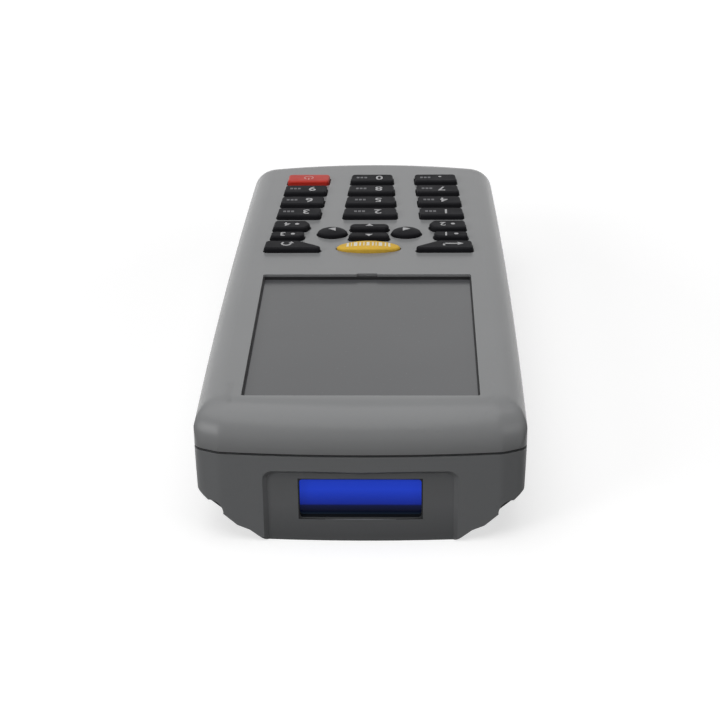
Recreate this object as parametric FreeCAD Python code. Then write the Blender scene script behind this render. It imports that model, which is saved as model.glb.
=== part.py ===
import FreeCAD, Part
import math
import os

V = FreeCAD.Vector
UP = V(0, 0, 1)
ALONG = V(0, 1, 0)
ACROSS = V(1, 0, 0)

# Frame, in millimetres: the terminal lies on its back at Z = 0 with its screen up.
# -Y is the scanning end, +Y the tail, +X to the right when the scanning end is looked at.

# Casing
body_length = 160.8
body_width = 70.3
body_height = 30.0
upper_shell_height = 9.15
wall = 2.0
front_bow_radius = 295.0
side_bow_radius = 3900.0
tail_bow_radius = 115.0
widest_from_front = 30.0
front_roll = 9.0
side_roll = 5.5
front_foot_radius = 1.2
corner_facet_from_side = 5.35
corner_facet_angle = 23.5
facet_front_radius = 4.0
facet_side_radius = 3.2
tail_corner_radius = 7.0

# Underside: flanks, chamfers, ledges and the flat belly that the battery fills
flank_foot_height = 11.0
flank_draft = 0.35
chamfer_run = 8.4
ledge_outer_height = 3.7
ledge_width = 2.6
ledge_inner_height = 2.7
belly_side_run = 3.6
belly_end_from_tail = 26.0
belly_end_run = 4.0
tail_chamfer = 4.5
edge_soft = 1.0

# Joint between the two shells
seam_groove_height = 0.4
seam_groove_depth = 0.6
lip_height = 1.2
lip_width = 0.8
lip_gap = 0.1

# Scan window in the front end
front_wall = 3.9
scan_recess_half_width = 20.6
scan_recess_top = 17.1
scan_recess_depth = 1.0
scan_recess_slope = 0.9
scan_recess_radius = 2.2
window_half_width = 12.9
window_low = 5.6
window_high = 14.7
window_radius = 0.7
window_rim = 0.4
window_set_back = 1.7
pane_lap = 1.3
pane_thickness = 1.2
notch_radius = 2.6
notch_from_side = 3.33
notch_height = 6.55
notch_depth = 3.4

# Display
screen_from_side = 9.85
screen_from_front = 10.4
screen_length = 65.9
screen_corner_radius = 0.5
screen_lip = 0.6
gasket_thickness = 0.7
gasket_proud = 0.3
display_margin = 2.2
lens_thickness = 1.1
display_play = 0.3
holder_wall = 1.2
holder_floor = 0.6
module_play = 0.1
screen_notch_width = 5.0
screen_notch_depth = 0.55

# Keys: distances from the scanning end, half widths and column lean
key_height = 1.3
key_round = 0.55
key_gap = 0.3
key_travel = 0.5
key_ear = 0.9
ear_thickness = 0.8
row_one = 113.3
row_pitch = 8.7
row_count = 4
row_key_length = 5.6
side_inner = 13.2
side_outer = 24.5
middle_half = 7.1
column_lean = 0.047
key_corner = 0.9
scan_key_length = 16.0
scan_key_width = 5.6
scan_key_centre = 92.9
scan_key_rise = 1.3
scan_key_crown = 45.0
wing_near = 90.4
wing_far = 95.6
wing_tip = 10.1
wing_shoulder = 17.6
wing_flare = 0.7
lower_f_near = 98.3
lower_f_far = 101.8
upper_f_near = 104.4
upper_f_far = 109.6
f_inner = 16.6
f_bulge = 1.4
ball_key_length = 7.6
ball_key_width = 5.8
ball_key_x = 9.5
ball_key_centre = 102.7
ball_key_rise = 1.5
ball_key_crown = 9.5
down_near = 104.1
down_far = 107.3
down_half = 5.0
up_near = 98.2
up_far = 101.2
up_near_half = 5.4
up_far_half = 4.8

# Keypad mat, switch domes and main board
nub_radius = 1.4
press_gap = 0.1
nub_height = 1.6
mat_thickness = 1.2
mat_half_width = 27.0
mat_near = 86.5
mat_far = 150.5
mat_corner = 3.0
dome_radius = 2.3
dome_top_radius = 1.4
dome_height = 0.35
dome_play = 0.3
board_thickness = 1.2
board_gap = 0.5
post_radius = 1.4
post_clear = 0.4
keypad_post_x = 9.45
keypad_post_from_front = 128.2
display_post_from_side = 5.2
display_post_from_front = 42.0
board_screw_radius = 0.8
board_screw_length = 4.0
board_screw_head_radius = 1.5
board_screw_head = 0.9

# Screws that hold the two shells together; places from the side and from the scanning end
case_screw_places = ((5.2, 16.0), (7.8, 82.6), (7.2, 145.5))
case_screw_radius = 1.0
case_screw_length = 14.0
case_screw_head_radius = 1.8
case_screw_head = 1.3
case_screw_seat = 11.5
case_screw_play = 0.2
boss_radius = 2.9
screw_slot_width = 0.5
screw_slot_depth = 0.6

# Battery, its tray and the sliding door under it
battery_width = 34.0
battery_length = 66.0
battery_thickness = 11.5
battery_play = 0.4
battery_corner = 2.0
tray_near = 54.0
tray_wall = 1.6
door_half_width = 16.9
door_thickness = 2.0
door_gap = 0.3
door_lap = 0.8
rail_width = 1.3
rail_thickness = 0.7
door_grip_count = 5
door_grip_pitch = 2.4
door_grip_width = 1.2
door_grip_depth = 0.5
door_grip_half_length = 9.0
contact_count = 3
contact_pitch = 5.0
contact_width = 1.6
contact_thickness = 0.4
contact_reach = 1.0
contact_low = 6.5
contact_high = 11.5
contact_leg = 1.5
connector_half_width = 9.0
connector_depth = 3.0
connector_low = 5.0
connector_play = 0.1

# Port in the tail, its board and its hinged cover
port_door_half_width = 8.6
port_door_low = 9.9
port_door_high = 18.4
port_door_thickness = 1.8
port_door_gap = 0.35
port_door_set_in = 0.25
port_knuckle_radius = 1.25
port_pin_radius = 0.4
port_pin_play = 0.05
port_pin_anchor = 2.0
port_mouth_half_width = 5.2
port_mouth_low = 12.4
port_mouth_high = 17.3
port_board_half_width = 12.0
port_board_length = 15.0
port_board_thickness = 1.2
port_board_height = 12.8
port_board_from_tail = 5.6
port_post_x = 9.0
port_post_from_tail = 9.0
port_post_radius = 1.8
socket_width = 7.8
socket_height = 4.0
socket_length = 9.0
socket_wall = 0.5
socket_tongue = 0.8
socket_from_tail = 4.2
header_width = 12.0
header_depth = 2.5
header_from_tail = 17.5

# Scan engine behind the window
engine_width = 21.0
engine_height = 11.0
engine_depth = 14.0
engine_low = 5.4
window_gasket_thickness = 0.8
engine_port_radius = 3.4
engine_port_depth = 2.0
engine_port_x = 5.0
engine_lens_thickness = 1.2
bracket_thickness = 1.0
bracket_flange = 5.0
bracket_set_back = 1.0
bracket_cheek_height = 7.0
engine_post_radius = 1.8
engine_pilot_depth = 2.2
engine_screw_radius = 0.8
engine_screw_length = 3.0
engine_screw_head_radius = 1.5
engine_screw_head = 0.8
engine_flex_half_width = 4.0
engine_flex_low = 9.0
engine_flex_reach = 6.0
flex_thickness = 0.3

# Parts on the main board
display_flex_half_width = 9.0
display_plug_length = 3.0
display_plug_height = 1.4
display_plug_gap = 0.5
display_flex_grip = 1.0
shield_length = 24.0
shield_width = 20.0
shield_height = 2.4
shield_sheet = 0.3
shield_from_side = 23.4
shield_from_front = 75.0
buzzer_radius = 5.0
buzzer_height = 4.2
buzzer_hole_radius = 0.8
buzzer_from_side = 17.4
buzzer_from_front = 128.0
cell_radius = 6.2
cell_height = 2.1
cell_from_side = 17.4
cell_from_front = 40.0

front = -body_length / 2
tail = body_length / 2
half_width = body_width / 2
seam_height = body_height - upper_shell_height
corner_facet_start = half_width - corner_facet_from_side
inner_top = body_height - wall
widest = front + widest_from_front
ear_top = inner_top
ear_foot = inner_top - ear_thickness
nub_top = ear_foot - key_travel - press_gap
mat_top = nub_top - nub_height
mat_foot = mat_top - mat_thickness
board_top = mat_foot
board_foot = board_top - board_thickness
lens_top = body_height - screen_lip - gasket_thickness
lens_foot = lens_top - lens_thickness
screen_half_width = half_width - screen_from_side
screen_near = front + screen_from_front
screen_far = screen_near + screen_length
lcd_foot = board_top + holder_floor
holder_far = screen_far + display_margin - display_play
boss_meet = seam_height + lip_height + lip_gap
battery_foot = door_thickness + battery_play
tray_roof = battery_foot + battery_thickness
tray_half_width = battery_width / 2 + battery_play
tray_near_y = front + tray_near
tray_far_y = tray_near_y + contact_reach + battery_length + battery_play
door_near_y = tray_near_y - door_lap
rail_foot = door_thickness - rail_thickness
rail_reach = door_half_width + rail_width
belly_end_y = tail - belly_end_from_tail
pane_face = front + window_set_back + scan_recess_depth
pane_back = pane_face + pane_thickness
engine_face = pane_back + window_gasket_thickness
engine_top = engine_low + engine_height
bracket_foot = engine_low - bracket_thickness
port_axis_y = tail - port_door_set_in - port_knuckle_radius
port_axis_z = port_door_low + port_knuckle_radius
notch_x = half_width - notch_from_side
# The end and flank forms stand this little outside the plan block, so that no two faces coincide.
SKIN = 0.01
# The forms whose common part is the casing run this far past its ends and sides.
OVERRUN = 4.0


def from_front(distance):
    """Y of a place that lies this far from the scanning end."""
    return front + distance


def save(shape, name):
    """Write one node."""
    shape.exportStep("parts/" + name + ".step")


def box(x0, x1, y0, y1, z0, z1):
    """Box between two corners."""
    return Part.makeBox(x1 - x0, y1 - y0, z1 - z0, V(x0, y0, z0))


def upright(radius, x, y, z0, z1):
    """Vertical cylinder."""
    return Part.makeCylinder(radius, z1 - z0, V(x, y, z0), UP)


def rounded(points, radii):
    """Closed wire through the points, with each corner rounded by its own radius."""
    runs = []
    count = len(points)
    for index, corner in enumerate(points):
        back = points[index - 1] - corner
        ahead = points[(index + 1) % count] - corner
        back.normalize()
        ahead.normalize()
        radius = radii[index]
        half_turn = back.getAngle(ahead) / 2
        middle = back + ahead
        middle.normalize()
        start = corner + back * (radius / math.tan(half_turn))
        end = corner + ahead * (radius / math.tan(half_turn))
        summit = corner + middle * (radius / math.sin(half_turn) - radius)
        runs.append((start, summit, end, radius))
    edges = []
    for index, (start, summit, end, radius) in enumerate(runs):
        last_end = runs[index - 1][2]
        if last_end.distanceToPoint(start) > 1e-6:
            edges.append(Part.makeLine(last_end, start))
        if radius > 0:
            edges.append(Part.Arc(start, summit, end).toShape())
    return Part.Wire(Part.__sortEdges__(edges))


def plate(points, radii, z0, z1):
    """Upright prism over a rounded outline given as (x, y) points."""
    wire = rounded([V(x, y, z0) for x, y in points], radii)
    return Part.Face(wire).extrude(UP * (z1 - z0))


def rectangle_plate(x0, x1, y0, y1, radius, z0, z1):
    """Upright prism over a rectangle with rounded corners."""
    points = ((x0, y0), (x1, y0), (x1, y1), (x0, y1))
    return plate(points, (radius,) * 4, z0, z1)


def grown(shape, amount):
    """A flat face made larger all round, or smaller where the amount is negative."""
    if abs(amount) < 1e-9:
        return shape
    return shape.makeOffset2D(amount)


def edges_at(shape, test):
    """Edges whose middle point passes a test."""
    chosen = []
    for edge in shape.Edges:
        middle = edge.valueAt((edge.FirstParameter + edge.LastParameter) / 2)
        if test(middle, edge):
            chosen.append(edge)
    return chosen


def is_vertical(edge):
    """True for a straight edge along Z."""
    ends = edge.Vertexes
    if len(ends) < 2:
        return False
    run = ends[1].Point - ends[0].Point
    return math.hypot(run.x, run.y) < 1e-3 and abs(run.z) > 1


def corner_plane_place(inset):
    """Where a front corner's facet passes through, on the right-hand side."""
    turn = math.radians(corner_facet_angle)
    outward = V(math.sin(turn), -math.cos(turn), 0)
    start = front + bow_depth(corner_facet_start, front_bow_radius)
    return V(corner_facet_start, start, 0) - outward * inset


def section_between(points, radii, inset, shift):
    """A section face, taken in by the inset and then moved."""
    face = grown(Part.Face(rounded(points, radii)), -inset)
    face.translate(shift)
    return face


def front_section(inset, extra):
    """Section of the scanning end along Y: belly, foot, face and the roll to the top."""
    back = tail + 2.5 * OVERRUN
    low = -SKIN
    face_y = front - SKIN
    high = body_height + SKIN
    points = (V(0, back, low), V(0, face_y, low), V(0, face_y, high), V(0, back, high))
    radii = (0, front_foot_radius, front_roll, 0)
    return section_between(points, radii, inset, V(0, extra, 0))


def bow_depth(distance, radius):
    """How far a bow has fallen back at this distance from its crown."""
    return radius - math.sqrt(radius ** 2 - distance ** 2)


def bowed(face, direction, crown, stations, radius, fall):
    """Solid that carries a section along a shallow bow, through sections at several stations."""
    wires = []
    for station in stations:
        wire = face.OuterWire.copy()
        depth = bow_depth(station - crown, radius)
        wire.translate(direction * station + fall * depth)
        wires.append(wire)
    return Part.makeLoft(wires, True, False)


def stations_between(low, high):
    """Evenly spaced stations for a bow."""
    steps = 6
    return [low + (high - low) * index / steps for index in range(steps + 1)]


def front_form(inset, extra):
    """Bowed scanning end with its large roll to the top face."""
    reach = half_width + OVERRUN
    stations = stations_between(-reach, reach)
    return bowed(front_section(inset, extra), ACROSS, 0, stations, front_bow_radius, ALONG)


def corner_form(side, inset, extra):
    """Flat facet that takes off a front corner, with the same roll as the front."""
    face = front_section(inset, extra)
    face.translate(V(-body_length, -front, 0))
    solid = face.extrude(ACROSS * 2 * body_length)
    solid.rotate(V(0, 0, 0), UP, corner_facet_angle)
    solid.translate(corner_plane_place(0))
    if side < 0:
        solid = solid.mirror(V(0, 0, 0), ACROSS)
    return solid


def side_form(side, inset):
    """Bowed flank: upright side, chamfer, ledge and belly, all along the side's long arc."""
    flank = half_width + SKIN
    chamfer_end = half_width - flank_draft - chamfer_run
    ledge_end = chamfer_end - ledge_width
    belly_end = ledge_end - belly_side_run
    points = (
        V(-body_width, 0, -SKIN),
        V(belly_end, 0, -SKIN),
        V(ledge_end, 0, ledge_inner_height),
        V(chamfer_end, 0, ledge_outer_height),
        V(half_width - flank_draft, 0, flank_foot_height),
        V(flank, 0, seam_height),
        V(flank, 0, 2 * body_height),
        V(-body_width, 0, 2 * body_height),
    )
    radii = (0, edge_soft, edge_soft, edge_soft, edge_soft, 0, 0, 0)
    face = section_between(points, radii, inset, V(0, 0, 0))
    stations = stations_between(front - OVERRUN, tail + OVERRUN)
    solid = bowed(face, ALONG, widest, stations, side_bow_radius, -ACROSS)
    if side < 0:
        solid = solid.mirror(V(0, 0, 0), ACROSS)
    return solid


def tail_form(inset):
    """Underside at the tail: the belly ends in a slope and the tail's foot is chamfered."""
    near = front - 2 * OVERRUN
    far = tail + OVERRUN + 1
    points = (
        V(-body_width, near, 0),
        V(-body_width, belly_end_y, 0),
        V(-body_width, belly_end_y + belly_end_run, ledge_inner_height),
        V(-body_width, tail - tail_chamfer, ledge_inner_height),
        V(-body_width, tail, ledge_inner_height + tail_chamfer),
        V(-body_width, far, seam_height),
        V(-body_width, far, 2 * body_height),
        V(-body_width, near, 2 * body_height),
    )
    radii = (0, edge_soft, edge_soft, edge_soft, edge_soft, 0, 0, 0)
    face = section_between(points, radii, inset, V(0, 0, 0))
    return face.extrude(ACROSS * 2 * body_width)


def bow_curve(points):
    """Smooth edge through points."""
    curve = Part.BSplineCurve()
    curve.interpolate(points)
    return curve.toShape()


def bowed_slab(edge_points, back_points, z0, z1):
    """Upright block whose plan has one bowed side; the other corners are given."""
    bow = bow_curve(edge_points)
    ends = [edge_points[-1]] + list(back_points) + [edge_points[0]]
    sides = [Part.makeLine(ends[i], ends[i + 1]) for i in range(len(ends) - 1)]
    face = Part.Face(Part.Wire([bow] + sides))
    face.translate(UP * z0)
    return face.extrude(UP * (z1 - z0))


def plan_sides(inset, skin):
    """Upright block between the two long side bows, open at both ends."""
    top = body_height - inset
    edge = half_width - inset + skin
    near = front - OVERRUN
    far = tail + OVERRUN
    ys = stations_between(near, far)
    points = [V(edge - bow_depth(y - widest, side_bow_radius), y, 0) for y in ys]
    back = (V(-body_width, far, 0), V(-body_width, near, 0))
    right = bowed_slab(points, back, -body_height, top)
    return right.common(right.mirror(V(0, 0, 0), ACROSS))


def rim_form(inset):
    """Plan of the casing from the sides to the bowed tail, with the roll along its top edges."""
    top = body_height - inset
    tail_centre = V(0, tail - tail_bow_radius, -body_height)
    behind = Part.makeCylinder(tail_bow_radius - inset, body_height + top, tail_centre, UP)
    ahead = box(-body_width, body_width, front - 2 * OVERRUN, 0, -body_height, top)
    solid = plan_sides(inset, 0).common(behind.fuse(ahead)).removeSplitter()
    corners = edges_at(solid, lambda m, e: is_vertical(e) and m.y > 0)
    solid = solid.makeFillet(tail_corner_radius - inset, corners)
    rim = edges_at(solid, lambda m, e: abs(m.z - top) < 1e-4 and m.y > front - OVERRUN / 2)
    return solid.makeFillet(side_roll - inset, rim)


def facet_cutter(side, inset, extra):
    """Everything in front of a corner facet."""
    reach = body_width / 2
    cutter = box(-reach, reach, -reach, 0, -body_height - 1, body_height + 1)
    cutter.rotate(V(0, 0, 0), UP, corner_facet_angle)
    cutter.translate(corner_plane_place(inset + extra))
    if side < 0:
        cutter = cutter.mirror(V(0, 0, 0), ACROSS)
    return cutter


def front_bow_slab(near, far, z0, z1):
    """Upright block from a face with the scanning end's bow back to a flat one."""
    reach = half_width + OVERRUN
    xs = stations_between(-reach, reach)
    points = [V(x, near + bow_depth(x, front_bow_radius), 0) for x in xs]
    return bowed_slab(points, (V(reach, far, 0), V(-reach, far, 0)), z0, z1)


def end_form(inset, extra):
    """Plan of the scanning end: its bow, its two facets and their softened upright edges."""
    far = tail + 2 * OVERRUN
    end = front_bow_slab(front + inset + extra, far, -body_height, body_height)
    solid = plan_sides(inset, 2 * SKIN).common(end)
    for side in (1, -1):
        solid = solid.cut(facet_cutter(side, inset, extra))
    solid = solid.removeSplitter()
    split = half_width - inset - corner_facet_from_side / 2
    turns = (
        (facet_side_radius, lambda m, e: is_vertical(e) and m.y < 0 and abs(m.x) > split),
        (facet_front_radius, lambda m, e: is_vertical(e) and m.y < 0 and abs(m.x) < split),
    )
    for radius, test in turns:
        solid = solid.makeFillet(radius - inset, edges_at(solid, test))
    return solid


def casing_form(inset=0.0, extra=0.0):
    """The whole casing's outer form, or the room inside it for a given wall thickness."""
    solid = rim_form(inset)
    for part in (end_form(inset, extra), front_form(inset, extra), tail_form(inset)):
        solid = solid.common(part)
    for side in (1, -1):
        solid = solid.common(corner_form(side, inset, extra))
        solid = solid.common(side_form(side, inset))
    return solid


def ball(radius, x, y, z):
    """Sphere with its poles to the sides."""
    solid = Part.makeSphere(radius)
    solid.rotate(V(0, 0, 0), ALONG, 90)
    solid.translate(V(x, y, z))
    return solid


def slab(z0, z1):
    """Everything between two heights."""
    return box(-half_width - 1, half_width + 1, front - 1, tail + 1, z0, z1)


def spots_of(places):
    """Places given as (x, distance), on both sides, as (x, y)."""
    spots = []
    for x, distance in places:
        spots += [(x, from_front(distance)), (-x, from_front(distance))]
    return spots


def case_screw_spots():
    """The six case screws."""
    return spots_of([(half_width - side, distance) for side, distance in case_screw_places])


def board_post_spots():
    """The four posts of the front cover that the main board is screwed to."""
    keypad_post = (keypad_post_x, keypad_post_from_front)
    display_post = (half_width - display_post_from_side, display_post_from_front)
    return spots_of((keypad_post, display_post))


def column_edge(x_at_row_one, distance):
    """X of a keypad column's edge, which leans in towards the tail."""
    return x_at_row_one - column_lean * (distance - row_one)


def key_outline(points, radii, margin):
    """Plan face of a key, from (x, distance) points, made larger all round by a margin."""
    wire = rounded([V(x, from_front(d), 0) for x, d in points], radii)
    return grown(Part.Face(wire), margin)


def side_key(row, margin):
    """A number key of the right-hand column."""
    near = row_one + row * row_pitch
    far = near + row_key_length
    points = (
        (column_edge(side_inner, near), near),
        (column_edge(side_outer, near), near),
        (column_edge(side_outer, far), far),
        (column_edge(side_inner, far), far),
    )
    return key_outline(points, (key_corner,) * 4, margin)


def middle_key(row, margin):
    """A number key of the middle column."""
    near = row_one + row * row_pitch
    far = near + row_key_length
    near_half = column_edge(middle_half, near)
    far_half = column_edge(middle_half, far)
    points = ((-near_half, near), (near_half, near), (far_half, far), (-far_half, far))
    return key_outline(points, (key_corner,) * 4, margin)


def wing_key(margin):
    """The wide right-hand key beside the scan key, with a long slope on its inner side."""
    points = (
        (wing_tip, wing_near),
        (column_edge(side_outer, wing_near) + wing_flare, wing_near),
        (column_edge(side_outer, wing_far) + wing_flare, wing_far),
        (wing_shoulder, wing_far),
    )
    return key_outline(points, (key_corner, key_corner, key_corner, 3 * key_corner), margin)


def lower_f_key(margin):
    """The right-hand function key next to the wing key."""
    points = (
        (f_inner, lower_f_near),
        (column_edge(side_outer, lower_f_near), lower_f_near),
        (column_edge(side_outer, lower_f_far), lower_f_far),
        (f_inner, lower_f_far),
    )
    return key_outline(points, (2 * key_corner, key_corner, key_corner, key_corner), margin)


def upper_f_key(margin):
    """The right-hand function key next to the number keys, with a bulge towards the middle."""
    points = (
        (f_inner, upper_f_near),
        (column_edge(side_outer, upper_f_near), upper_f_near),
        (column_edge(side_outer, upper_f_far), upper_f_far),
        (f_inner, upper_f_far),
        (f_inner - f_bulge, (upper_f_near + upper_f_far) / 2),
    )
    return key_outline(points, (key_corner,) * 4 + (2 * key_corner,), margin)


def oval(x, distance, length, width, margin):
    """Plan face of an oval key that lies across the terminal, made larger by a margin."""
    ring = Part.Ellipse(V(x, from_front(distance), 0), length / 2 + margin, width / 2 + margin)
    return Part.Face(Part.Wire(ring.toShape()))


def ball_key(margin):
    """The short oval key to the right of the two middle arrows."""
    return oval(ball_key_x, ball_key_centre, ball_key_length, ball_key_width, margin)


def down_key(margin):
    """The middle arrow next to the number keys, with round ends."""
    end = (down_far - down_near) / 2 - 0.1
    points = (
        (-down_half, down_near),
        (down_half, down_near),
        (down_half, down_far),
        (-down_half, down_far),
    )
    return key_outline(points, (end,) * 4, margin)


def up_key(margin):
    """The middle arrow next to the scan key."""
    points = (
        (-up_near_half, up_near),
        (up_near_half, up_near),
        (up_far_half, up_far),
        (-up_far_half, up_far),
    )
    return key_outline(points, (key_corner,) * 4, margin)


def scan_key(margin):
    """The long oval scan key."""
    return oval(0, scan_key_centre, scan_key_length, scan_key_width, margin)


class Key:
    """One key: its name, its plan outlines, its rise, its crown and where it has ears."""

    def __init__(self, name, outline, side=1, rise=key_height, crown=0, ears="left right"):
        self.name = name
        self.rise = rise
        self.crown = crown
        self.ears = ears
        faces = [outline(margin) for margin in (0, key_gap, key_ear)]
        if side < 0:
            faces = [face.mirror(V(0, 0, 0), ACROSS) for face in faces]
        self.face, self.hole_face, self.ear_face = faces
        self.centre = self.face.CenterOfMass


def keypad():
    """All keys. The terminal is read from its tail, so the digits run from right to left here."""
    crowned = {"rise": ball_key_rise, "crown": ball_key_crown, "ears": "near far"}
    keys = [
        Key("key_scan", scan_key, 1, scan_key_rise, scan_key_crown),
        Key("key_enter", wing_key, 1),
        Key("key_clear", wing_key, -1),
        Key("key_f1", lower_f_key, 1),
        Key("key_f2", upper_f_key, 1),
        Key("key_f3", lower_f_key, -1),
        Key("key_f4", upper_f_key, -1),
        Key("key_left", ball_key, 1, **crowned),
        Key("key_right", ball_key, -1, **crowned),
        Key("key_up", up_key, ears="near"),
        Key("key_down", down_key, ears="far"),
    ]
    right_names = ("key_1", "key_4", "key_7", "key_dot")
    middle_names = ("key_2", "key_5", "key_8", "key_0")
    left_names = ("key_3", "key_6", "key_9", "key_power")
    for row in range(row_count):
        keys.append(Key(right_names[row], lambda margin: side_key(row, margin), 1))
        keys.append(Key(middle_names[row], lambda margin: middle_key(row, margin)))
        keys.append(Key(left_names[row], lambda margin: side_key(row, margin), -1))
    return keys


def make_key(key):
    """Cap with softened top edges on a rim that stops it from coming out of its hole."""
    top = body_height + key.rise
    cap = key.face.extrude(UP * (top - ear_foot))
    cap.translate(UP * ear_foot)
    if key.crown:
        cap = cap.common(ball(key.crown, key.centre.x, key.centre.y, top - key.crown))
        rim = edges_at(cap, lambda m, e: m.z > body_height)
    else:
        rim = edges_at(cap, lambda m, e: abs(m.z - top) < 1e-4)
    cap = cap.makeFillet(key_round, rim)
    ears = key.ear_face.extrude(UP * ear_thickness)
    ears.translate(UP * ear_foot)
    bounds = key.face.BoundBox
    reach = {side: key_ear if side in key.ears else 0 for side in ("left", "right", "near", "far")}
    keep = box(
        bounds.XMin - reach["left"],
        bounds.XMax + reach["right"],
        bounds.YMin - reach["near"],
        bounds.YMax + reach["far"],
        ear_foot - 1,
        ear_top + 1,
    )
    return cap.fuse(ears.common(keep)).removeSplitter()


def make_keypad_mat(keys):
    """Rubber mat with a nub under every key, a pocket over every dome and two post holes."""
    near = from_front(mat_near)
    far = from_front(mat_far)
    half = mat_half_width
    mat = rectangle_plate(-half, half, near, far, mat_corner, mat_foot, mat_top)
    for key in keys:
        x = key.centre.x
        y = key.centre.y
        pocket_top = mat_foot + dome_height + dome_play / 2
        mat = mat.fuse(upright(nub_radius, x, y, mat_top, nub_top))
        mat = mat.cut(upright(dome_radius + dome_play, x, y, mat_foot, pocket_top))
    for x, y in spots_of(((keypad_post_x, keypad_post_from_front),)):
        mat = mat.cut(upright(post_radius + post_clear, x, y, mat_foot - 1, mat_top + 1))
    for x, y in case_screw_spots():
        mat = mat.cut(upright(boss_radius + post_clear, x, y, mat_foot - 1, mat_top + 1))
    return mat


def make_dome_switches(keys):
    """Snap discs on the board, one under every nub, with sloped rims."""
    domes = []
    for key in keys:
        foot = V(key.centre.x, key.centre.y, mat_foot)
        domes.append(Part.makeCone(dome_radius, dome_top_radius, dome_height, foot, UP))
    return Part.makeCompound(domes)


def around_screen(margin, z0, z1):
    """Block around the screen opening, larger than it by a margin."""
    x = screen_half_width + margin
    return box(-x, x, screen_near - margin, screen_far + margin, z0, z1)


def make_display():
    """Gasket, lens, LCD module, its holder, and the flex with its plug on the main board."""
    reach = display_margin - display_play
    gasket_hole = around_screen(-gasket_proud, lens_top - 1, body_height)
    gasket = around_screen(reach, lens_top, lens_top + gasket_thickness).cut(gasket_hole)
    lens = around_screen(reach, lens_foot, lens_top)
    inside = reach - holder_wall
    module = around_screen(inside - module_play, lcd_foot, lens_foot)
    holder = around_screen(reach, board_top, lens_foot)
    holder = holder.cut(around_screen(inside, lcd_foot, lens_top))
    half = display_flex_half_width
    flex_foot = lcd_foot + module_play
    flex_top = flex_foot + flex_thickness
    plug_near = holder_far + display_plug_gap
    plug_far = plug_near + display_plug_length
    flex_near = holder_far - holder_wall - module_play
    flex = box(-half, half, flex_near, plug_near + display_flex_grip, flex_foot, flex_top)
    gate_half = half + module_play
    gate_far = holder_far + 1
    gate = box(-gate_half, gate_half, flex_near, gate_far, lcd_foot, flex_top + module_play)
    plug_half = half + 1
    plug = box(-plug_half, plug_half, plug_near, plug_far, board_top, board_top + display_plug_height)
    return {
        "display_gasket": gasket,
        "display_lens": lens,
        "lcd_module": module,
        "lcd_holder": holder.cut(gate),
        "display_flex": flex,
        "flex_connector": plug.cut(flex),
    }


def seam_groove():
    """Shallow groove all round the joint between the shells."""
    half = seam_groove_height / 2
    return slab(seam_height - half, seam_height + half).cut(casing_form(seam_groove_depth))


def make_front_cover(outer, inner, groove, keys):
    """Upper shell with the screen opening, key holes, screw bosses and board posts."""
    above = slab(seam_height, body_height + 1)
    room = inner.common(above)
    for x, y in case_screw_spots():
        room = room.cut(upright(boss_radius, x, y, seam_height - 1, body_height))
    for x, y in board_post_spots():
        room = room.cut(upright(post_radius, x, y, board_top, body_height))
    shell = outer.common(above).cut(room)
    for x, y in case_screw_spots():
        pilot_top = case_screw_seat + case_screw_length + 0.5
        shell = shell.cut(upright(case_screw_radius, x, y, seam_height - 1, pilot_top))
    for x, y in board_post_spots():
        pilot_top = board_foot + board_screw_length + 0.3
        shell = shell.cut(upright(board_screw_radius, x, y, board_foot, pilot_top))
    shell = shell.cut(around_screen(display_margin, seam_height - 1, lens_top + gasket_thickness))
    opening = rectangle_plate(
        -screen_half_width,
        screen_half_width,
        screen_near,
        screen_far,
        screen_corner_radius,
        lens_top,
        body_height + 1,
    )
    half = screen_notch_width / 2
    notch_far = screen_far + screen_notch_depth
    notch = box(-half, half, screen_far - 1, notch_far, lens_top, body_height + 1)
    shell = shell.cut(opening).cut(notch)
    for key in keys:
        hole = key.hole_face.extrude(UP * 2 * wall)
        hole.translate(UP * (inner_top - wall / 2))
        shell = shell.cut(hole)
    rebate = casing_form(wall - lip_width - lip_gap, front_wall - wall)
    return shell.cut(groove).cut(rebate.common(slab(seam_height - 1, boss_meet)))


def recess_wedge(side):
    """Half of the scan recess: a rounded rectangle with sloped sides that leans with the bow."""
    sections = []
    for depth in (-scan_recess_depth, 2 * scan_recess_depth):
        taper = depth / scan_recess_depth * scan_recess_slope
        x = scan_recess_half_width - taper
        z = scan_recess_top - taper
        radius = scan_recess_radius - taper / 2
        corners = (V(-x, depth, -OVERRUN), V(x, depth, -OVERRUN), V(x, depth, z), V(-x, depth, z))
        sections.append(rounded(corners, (0, 0, radius, radius)))
    wedge = Part.makeLoft(sections, True, True)
    lean = bow_depth(scan_recess_half_width, front_bow_radius) / scan_recess_half_width
    half = box(0, half_width, -OVERRUN, OVERRUN, -2 * OVERRUN, body_height)
    wedge.rotate(V(0, 0, 0), UP, math.degrees(math.atan(lean)))
    wedge = wedge.common(half)
    wedge.translate(V(0, front, 0))
    if side < 0:
        wedge = wedge.mirror(V(0, 0, 0), ACROSS)
    return wedge


def window_wire(margin, radius, y):
    """Upright rounded outline of the window's size, larger by a margin."""
    x = window_half_width + margin
    low = window_low - margin
    high = window_high + margin
    points = (V(-x, y, low), V(x, y, low), V(x, y, high), V(-x, y, high))
    return rounded(points, (radius,) * 4)


def window_plate(margin, radius, y0, y1):
    """Upright rounded plate of the window's size, larger by a margin."""
    return Part.Face(window_wire(margin, radius, y0)).extrude(ALONG * (y1 - y0))


def window_funnel():
    """Sloped rim of the window's opening."""
    middle = front + scan_recess_depth
    wires = []
    for shift, margin in ((-window_rim, 2 * window_rim), (window_rim, 0)):
        wires.append(window_wire(margin, window_radius + margin, middle + shift))
    return Part.makeLoft(wires, True, True)


def along_y(radius, x, z, y0, y1):
    """Cylinder along Y."""
    return Part.makeCylinder(radius, y1 - y0, V(x, y0, z), ALONG)


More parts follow.
